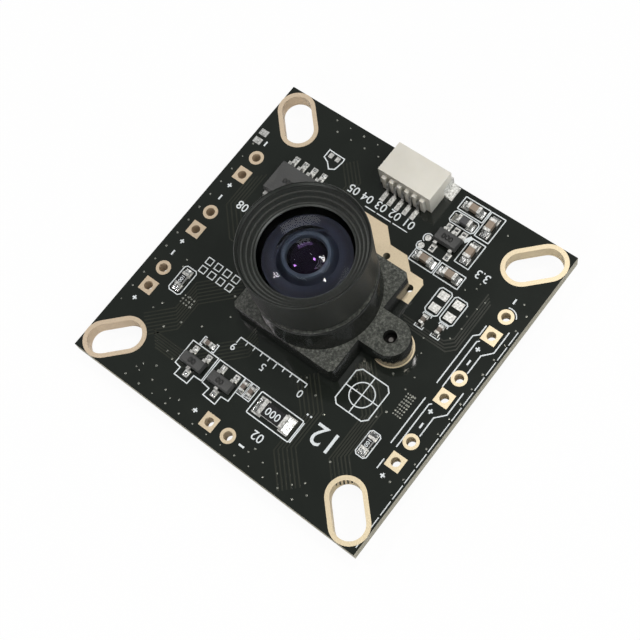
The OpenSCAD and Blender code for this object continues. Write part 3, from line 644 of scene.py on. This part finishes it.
# ---------------------------------------------------------------- Lens
# A turned and black-anodised aluminium barrel on an M12 thread, a stepped ring that holds the front
# glass, and the domed front glass with its violet coating over the black mount of the stop.
finish, root, shader, place = new_finish("anodised_black", Metallic=0.55, IOR=1.5)
grain = noise(root, place, 8, 4, 0.7)
up = root.node("SeparateXYZ", None, {0: place}, out=2)
turned = root.node("TexWave", {"bands_direction": "Z"}, {"Vector": place, "Scale": 5200,
                   "Distortion": 0.4, "Detail": 2.0})
collar_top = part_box("lens_holder")[1].z
on_thread = 1 - up.above(collar_top + 0.0007)
pitch = root.math("SINE", up * (2 * math.pi / 0.0005))
grain.mix(col(0.009, 0.010, 0.009), col(0.045, 0.049, 0.044)).feed(shader, "Base Color")
(0.32 + grain * 0.16).feed(shader, "Roughness")
bump(root, grain * 0.3 + turned * 0.15 + on_thread * pitch * 4.0, 0.00003, 0.8).feed(
    shader, "Normal")
dress(finish, "lens_barrel", "rear_ring")

finish, root, shader, place = new_finish("ring_black", Metallic=0.5)
grain = noise(root, place, 8, 4, 0.7)
grain.mix(col(0.018, 0.020, 0.018), col(0.115, 0.122, 0.115)).feed(shader, "Base Color")
(0.30 + grain * 0.15).feed(shader, "Roughness")
bump(root, grain, 0.00002, 0.6).feed(shader, "Normal")
dress(finish, "front_ring")

finish, root, shader, place = new_finish("mount_black", IOR=1.45)
axis_x, axis_y = (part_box("inner_mount")[0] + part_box("inner_mount")[1]).xy / 2
centred = root.node("Mapping", None, {"Vector": place, "Location": (-axis_x, -axis_y, 0)})
flat_xy = root.node("VectorMath", {"operation": "MULTIPLY"}, {0: centred, 1: (1, 1, 0)})
reach = root.node("VectorMath", {"operation": "LENGTH"}, {0: flat_xy}, out=1)
# Painted reflection: rings of grey-blue, blue and violet tones round the stop stand in for the violet
# reflection of the coated glass and a soft glow round the stop; the mount itself is black.
painted_coating_rings = (reach * 200).ramp((0.0, (0.05, 0.07, 0.09)), (0.485, (0.06, 0.08, 0.10)),
                           (0.53, (0.022, 0.027, 0.038)), (0.66, (0.020, 0.025, 0.043)),
                           (0.80, (0.007, 0.009, 0.016)), (0.86, (0.016, 0.019, 0.034)))
fine = noise(root, place, 6, 3)
root.node("Mix", {"data_type": "RGBA", "blend_type": "MULTIPLY"},
          {"Factor": 1.0, 6: painted_coating_rings, 7: fine.mix(col(0.8, 0.8, 0.8), col(1.15, 1.15, 1.15))},
          out=2).feed(shader, "Base Color")
(0.35 + fine * 0.2).feed(shader, "Roughness")
dress(finish, "inner_mount", "spacer_tube")

finish, root, shader, place = new_finish("front_glass", Transmission_Weight=1.0, IOR=1.2)
smear = noise(root, place, 0.5, 3)
smear.mix(col(0.82, 0.84, 0.93), col(0.90, 0.91, 0.98)).feed(shader, "Base Color")
(smear * 0.02).feed(shader, "Roughness")
dress(finish, "front_glass", "rear_glass", "sensor_glass", "infrared_filter")

# Painted shade: the middle glass is drawn opaque and near black, for the dark inside of the lens
# behind it.
finish, root, shader, place = new_finish("middle_glass", IOR=1.4)
shader.inputs["Specular Tint"].default_value = col(0.75, 0.35, 1.0)
smear = noise(root, place, 0.6, 3)
smear.mix(col(0.002, 0.002, 0.002), col(0.006, 0.006, 0.007)).feed(shader, "Base Color")
(0.01 + smear * 0.01).feed(shader, "Roughness")
dress(finish, "middle_glass")

# ---------------------------------------------------------------- Image sensor
# A ceramic package under the lens with the silicon chip in its recess, closed by a glass cover.
finish, root, shader, place = new_finish("sensor_ceramic")
fine = noise(root, place, 5, 4)
fine.mix(col(0.05, 0.05, 0.055), col(0.10, 0.10, 0.11)).feed(shader, "Base Color")
(0.5 + fine * 0.2).feed(shader, "Roughness")
dress(finish, "sensor_package")
finish, root, shader, place = new_finish("silicon", Metallic=0.8, Roughness=0.15)
cells = root.node("TexBrick", None, {"Vector": place, "Scale": 3000.0}, out=1)
cells.mix(col(0.10, 0.07, 0.20), col(0.20, 0.18, 0.36)).feed(shader, "Base Color")
dress(finish, "sensor_die")

# ---------------------------------------------------------------- Cable socket
# A cream nylon housing that opens over the board's edge, with five tinned contacts through its rear
# wall and a tinned tab on each side that is soldered to the board.
finish, root, shader, place = new_finish("cream_nylon", Subsurface_Weight=0.08,
                                         Subsurface_Scale=0.0004, IOR=1.53)
shader.inputs["Subsurface Radius"].default_value = (1.0, 0.8, 0.5)
fine = noise(root, place, 6, 4)
wide = noise(root, place, 0.5, 2)
wide.mix(col(0.66, 0.635, 0.565), col(0.75, 0.73, 0.66)).feed(shader, "Base Color")
(0.42 + fine * 0.14).feed(shader, "Roughness")
bump(root, fine, 0.00003, 0.5).feed(shader, "Normal")
softened("socket_housing", 0.00008, finish, "board")

# ---------------------------------------------------------------- Moulded chips
# Black epoxy packages, fine-grained, with rounded mould edges and a few plain laser-marked digits.
finish, root, shader, place = new_finish("chip_epoxy")
grit = noise(root, place, 9, 4, 0.7)
grit.mix(col(0.022, 0.023, 0.023), col(0.075, 0.076, 0.074)).feed(shader, "Base Color")
(0.42 + grit * 0.2).feed(shader, "Roughness")
bump(root, grit, 0.00003, 0.7).feed(shader, "Normal")
for name, width in (("memory_body", 0.00008), ("regulator_body", 0.00005),
                    ("transistor_bodies", 0.00005), ("processor_body", 0.00006)):
    softened(name, width, finish, "board", 20)
mark_finish, root, shader, place = new_finish("laser_mark", Roughness=0.6)
noise(root, place, 8).mix(col(0.16, 0.16, 0.15), col(0.28, 0.28, 0.26)).feed(shader, "Base Color")
memory_low, memory_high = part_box("memory_body")
regulator_low, regulator_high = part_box("regulator_body")
transistor_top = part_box("transistor_bodies")[1].z
marks = [("00", -6.7, -13.13, 180, transistor_top - 0.004 * MM),
         ("00", -2.83, -13.13, 180, transistor_top - 0.004 * MM),
         ("000", (regulator_low.x + regulator_high.x) / 2 / MM,
          (regulator_low.y + regulator_high.y) / 2 / MM, 180, regulator_high.z - 0.004 * MM),
         ("0000", (memory_low.x + memory_high.x) / 2 / MM, (memory_low.y + memory_high.y) / 2 / MM,
          180, memory_high.z - 0.004 * MM)]
lettering("chip_marks", marks, 0.62, 0.008 * MM, mark_finish, "board")

# ---------------------------------------------------------------- Ceramic chips
# Barium titanate capacitors in brown, one dark bead, the very small chips and the resistors with
# their black glaze and white numbers. Tinned caps wrap the ends of all of them.
def ceramic(name, dark, light, shine, *parts):
    """A fine-grained finish between two colours, given to the parts."""
    made, root, shader, place = new_finish(name)
    fine = noise(root, place, 7, 4)
    fine.mix(col(*dark), col(*light)).feed(shader, "Base Color")
    (shine + fine * 0.2).feed(shader, "Roughness")
    bump(root, fine, 0.00002, 0.5).feed(shader, "Normal")
    dress(made, *parts)


ceramic("brown_ceramic", (0.20, 0.155, 0.115), (0.33, 0.26, 0.20), 0.3, "capacitor_bodies")
ceramic("bead_ferrite", (0.03, 0.03, 0.033), (0.08, 0.08, 0.085), 0.35, "bead_body")
ceramic("small_ceramic", (0.10, 0.08, 0.065), (0.20, 0.16, 0.13), 0.35, "small_chip_bodies")
ceramic("alumina", (0.70, 0.70, 0.68), (0.82, 0.82, 0.80), 0.4, "resistor_bodies")
ceramic("black_glaze", (0.008, 0.008, 0.008), (0.02, 0.02, 0.02), 0.12, "resistor_coats")
ceramic("crystal_ceramic", (0.30, 0.22, 0.15), (0.42, 0.33, 0.24), 0.45, "crystal_base")
coat_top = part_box("resistor_coats")[1].z
numbers = [("000", 3.85, -12.64, 180, coat_top + 0.001 * MM)]
lettering("resistor_numbers_large", numbers, 0.85, 0.006 * MM, ink_finish, "board")
flat_top = top + 0.5 * MM
numbers = [("100", -14.0, -6.6, 270, flat_top + 0.001 * MM),
           ("100", 13.42, -9.35, 270, flat_top + 0.001 * MM)]
lettering("resistor_numbers_small", numbers, 0.42, 0.006 * MM, ink_finish, "board")
